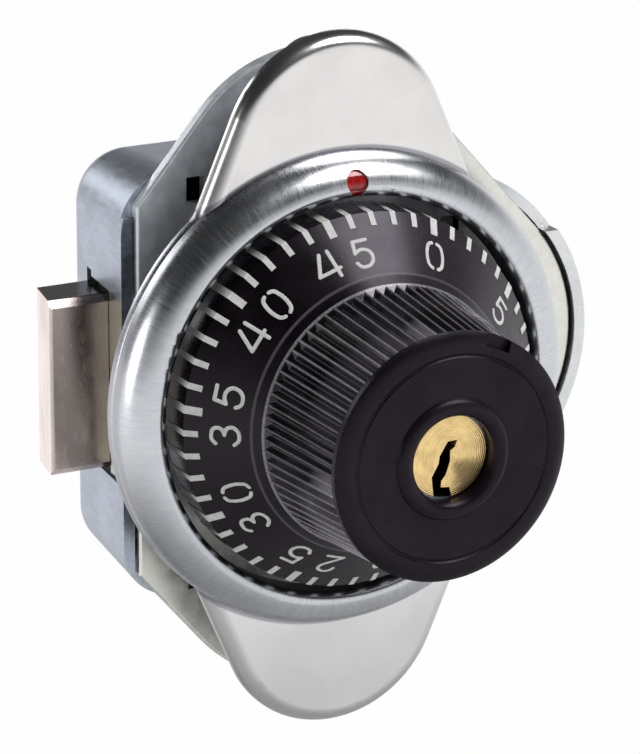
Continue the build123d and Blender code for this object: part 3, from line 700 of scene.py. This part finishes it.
class LOCK_OT_dial_finish(Operator):
    """Finish the dial, its paint, the grip and its cap"""

    bl_idname = "lock.dial_finish"
    bl_label = "Dial and Knob Finish"

    def execute(self, context):
        tints = context.scene.lock_colours
        paint = Finish("white_paint", Specular_IOR_Level=0.3)
        worn = paint.noise(1.6)
        light = paint.varied(worn.ramp(0.35, 0.65), tints.paint, 0.93, 1.06)
        # painted shadow of the lip on the paint near the rim
        lip_shadow = paint.y.ramp(*PAINT_SHADOW_Y, 0.0, 0.75)
        paint.feed("Base Color", paint.blend(lip_shadow, light, PAINT_SHADOW))
        paint.feed("Roughness", worn.ramp(0.3, 0.7, 0.42, 0.6))
        paint.bump(worn, 0.006)
        wear("dial_strokes", finish=paint)
        for number in NUMBERS:
            coat(bpy.data.objects[number_name(number)].data, paint)

        dial, plain, pebble = moulded("dial_plastic", tints.dial, 0.27, 0.29)
        # painted reflection: the dial lighter toward the upper right
        lift = (dial.x + dial.z).ramp(*DIAL_REFLECTION_SLANT)
        plain = dial.blend(lift, plain, DIAL_REFLECTION_TINT)
        # painted highlight: a thin light line round the boss
        line = dial.radius().near(CONE_IN, 0.04, 0.2, 0.8)
        dial.feed("Base Color", dial.blend(line, plain, BOSS_HIGHLIGHT))
        dial.bump(pebble * 0.006)
        wear("dial", finish=dial)

        knob, plain, pebble = moulded("knob_plastic", tints.knob, 0.17, 0.75)
        # painted highlights: light lines along the crests and the roots of the ribs
        above = knob.radius() - (knob.y - RIB_FRONT_Y) * RIB_FLARE - RIB_FRONT_R
        crest_highlight = above.ramp(-0.2, -0.05) * pebble.ramp(0.3, 0.6, 0.5, 1.0)
        root = (above + RIB_DEEP).fade(0.03, 0.16, 0.35)
        knob.feed("Base Color", knob.blend(crest_highlight.most(root), plain, RIB_HIGHLIGHT))
        knob.bump(pebble * 0.006)
        wear("knob", finish=knob)

        cap, plain, pebble = moulded("cap_plastic", tints.cap, 0.30, 0.18)
        cap.feed("Base Color", plain)
        cap.bump(pebble * 0.006 + cap.radius().near(CAP_LINE_R, 0.0, 0.32, -0.2))
        wear("knob_cap", finish=cap)
        return {"FINISHED"}


class LOCK_OT_plug_finish(Operator):
    """Finish the brass plug with the marks of its facing cut"""

    bl_idname = "lock.plug_finish"
    bl_label = "Plug Finish"

    def execute(self, context):
        plug = Finish("plug_brass", Metallic=1.0)
        reach = plug.radius()
        rings = (reach * 26.0 + plug.noise(0.5, 2.0) * 3.0).sine() * 0.5 + 0.5
        brush = plug.polar_noise(2.0, 4.0, 3.0)
        cloud = plug.noise(0.5)
        pattern = (brush * 0.5 + cloud * 0.5).ramp(0.35, 0.65)
        milled = plug.varied(pattern, context.scene.lock_colours.brass, 0.78, 1.15)
        # near 1 toward the lower right of the face, where a painted dark reflection falls
        aim = (plug.x - plug.z) / (reach + 0.3) * 0.707
        dark_reflection = (aim + brush * 0.25).ramp(0.82, 1.05, 0.0, 0.8) * reach.ramp(0.6, 1.6)
        milled = plug.blend(dark_reflection, milled, SECTOR_REFLECTION)
        # painted shade deep in the keyway
        inside = plug.y.ramp(*KEYWAY_Y)
        plug.feed("Base Color", plug.blend(inside, milled, KEYWAY_SHADE))
        plug.feed("Roughness", (rings * 0.4 + brush * 0.6).ramp(0.2, 0.8, 0.22, 0.42))
        plug.bump(rings * 0.7 + brush * 0.3, 0.02)
        wear("key_plug", finish=plug)
        wear(
            "spindle_bush",
            "wheel_1",
            "wheel_2",
            "wheel_3",
            "key_pins",
            "driver_pins",
            finish=plated("turned_brass", (0.78, 0.55, 0.24), 0.3, relief=0.003),
        )
        return {"FINISHED"}


class LOCK_OT_inner_finish(Operator):
    """Finish the plated and spring steel pieces inside the lock"""

    bl_idname = "lock.inner_finish"
    bl_label = "Inner Pieces Finish"

    def execute(self, context):
        wear(
            "trim_posts",
            "mounting_screws",
            "spring_seat",
            "wheel_post",
            "wheel_spacers",
            "spindle",
            "override_pin",
            "tailpiece",
            finish=plated("zinc_steel", (0.56, 0.57, 0.59), 0.34),
        )
        wear(
            "bolt_spring",
            "retaining_clip",
            "lever_clip",
            "lever_spring",
            "pin_springs",
            finish=plated("spring_steel", (0.42, 0.42, 0.43), 0.26, (3.0, 3.0, 0.4)),
        )
        return {"FINISHED"}


def set_floor():
    """A pale floor that glows on camera rays, so it meets the white behind it."""
    deselect()
    bpy.ops.mesh.primitive_plane_add(size=FLOOR_SIZE, location=(0, 0, FLOOR_Z))
    floor = bpy.context.object
    floor.name = "floor"
    paper = Finish("floor_paper", Base_Color=FLOOR_TINT, Roughness=0.9, Specular_IOR_Level=0.1)
    reach = paper.node("ShaderNodeVectorMath", {"operation": "LENGTH"}, {0: paper.place})
    far = Amount(paper, reach.outputs["Value"]).ramp(*GLOW_REACH)
    ray = paper.node("ShaderNodeLightPath").outputs
    mirrored = far * ray["Is Glossy Ray"]
    seen = mirrored.most(ray["Is Camera Ray"]).most(ray["Is Transmission Ray"])
    glow = paper.node("ShaderNodeEmission")
    paper.mix_shaders(seen * FLOOR_GLOW, paper.shader, glow, "Material Output")
    floor.data.materials.append(paper.material)


def set_world(scene, studio):
    """A studio with bright walls and a dark ceiling in reflections, and white behind."""
    scene.world = bpy.data.worlds.new("studio")
    room = Nodes(scene.world)
    heading = room.node("ShaderNodeTexCoord").outputs["Generated"]
    split = room.node("ShaderNodeSeparateXYZ", inputs={0: heading}).outputs
    rise = Amount(room, split["Z"]).ramp(*CEILING_RISE, studio.wall, studio.ceiling)
    side = Amount(room, split["X"]).ramp(*DIM_SIDE_X, DIM_SIDE, 1.0)
    light = room.tree.nodes["Background"]
    room.fill(light.inputs["Color"], WHITE)
    room.fill(light.inputs["Strength"], rise * side)
    plain = room.node("ShaderNodeBackground", inputs={"Color": WHITE})
    ray = room.node("ShaderNodeLightPath").outputs
    room.mix_shaders(ray["Is Camera Ray"], light, plain, "World Output")


def set_lamp(name, power, size, place):
    """A round lamp that looks at the lock; size and place are in metres."""
    deselect()
    bpy.ops.object.light_add(type="AREA", location=place)
    made = bpy.context.object
    made.name = name
    made.data.shape = "DISK"
    made.data.size = size
    made.data.energy = power
    toward = Vector(LAMP_AIM) - Vector(place)
    made.rotation_euler = toward.to_track_quat("-Z", "Y").to_euler()


def set_camera(scene, lens):
    deselect()
    bpy.ops.object.camera_add()
    camera = bpy.context.object
    camera.name = "camera"
    rows = [list(row) for row in zip(CAMERA_RIGHT, CAMERA_UP, CAMERA_BACK, CAMERA_PLACE)]
    camera.matrix_world = Matrix(rows + [[0, 0, 0, 1]])
    camera.data.lens = lens
    camera.data.sensor_width = 36.0
    camera.data.clip_start = 0.01
    scene.camera = camera


class LOCK_OT_stage(Operator):
    """Set the floor, the studio light and the camera"""

    bl_idname = "lock.stage"
    bl_label = "Stage, Light and Camera"

    def execute(self, context):
        scene = context.scene
        studio = scene.lock_studio
        set_floor()
        set_world(scene, studio)
        set_lamp("key_lamp", studio.key, 0.5, (0.40, -0.40, 0.72))
        set_lamp("fill_lamp", studio.fill, 0.5, (-0.95, 0.1, 0.12))
        set_lamp("rim_lamp", studio.rim, 0.34, (-0.39, 0.757, 0.29))
        set_camera(scene, studio.lens)
        scene.view_settings.view_transform = "Standard"
        return {"FINISHED"}


class LOCK_PT_panel(Panel):
    bl_label = "Locker Lock"
    bl_idname = "LOCK_PT_panel"
    bl_space_type = "VIEW_3D"
    bl_region_type = "UI"
    bl_category = "Locker Lock"

    def draw(self, context):
        for operator in OPERATORS:
            self.layout.operator(operator.bl_idname)
        for group in ("lock_sizes", "lock_colours", "lock_studio"):
            box = self.layout.box()
            settings = getattr(context.scene, group)
            for key in settings.__annotations__:
                box.prop(settings, key)


OPERATORS = (
    LOCK_OT_dial_numbers,
    LOCK_OT_trim_finish,
    LOCK_OT_case_finish,
    LOCK_OT_bolt_finish,
    LOCK_OT_dial_finish,
    LOCK_OT_plug_finish,
    LOCK_OT_inner_finish,
    LOCK_OT_stage,
)
CLASSES = (LockSizes, LockColours, StudioSettings, *OPERATORS, LOCK_PT_panel)


def register():
    for item in CLASSES:
        bpy.utils.register_class(item)
    bpy.types.Scene.lock_sizes = PointerProperty(type=LockSizes)
    bpy.types.Scene.lock_colours = PointerProperty(type=LockColours)
    bpy.types.Scene.lock_studio = PointerProperty(type=StudioSettings)


def unregister():
    del bpy.types.Scene.lock_studio
    del bpy.types.Scene.lock_colours
    del bpy.types.Scene.lock_sizes
    for item in reversed(CLASSES):
        bpy.utils.unregister_class(item)


def main():
    register()
    bpy.ops.lock.dial_numbers()
    bpy.ops.lock.trim_finish()
    bpy.ops.lock.case_finish()
    bpy.ops.lock.bolt_finish()
    bpy.ops.lock.dial_finish()
    bpy.ops.lock.plug_finish()
    bpy.ops.lock.inner_finish()
    bpy.ops.lock.stage()


if __name__ == "__main__":
    main()
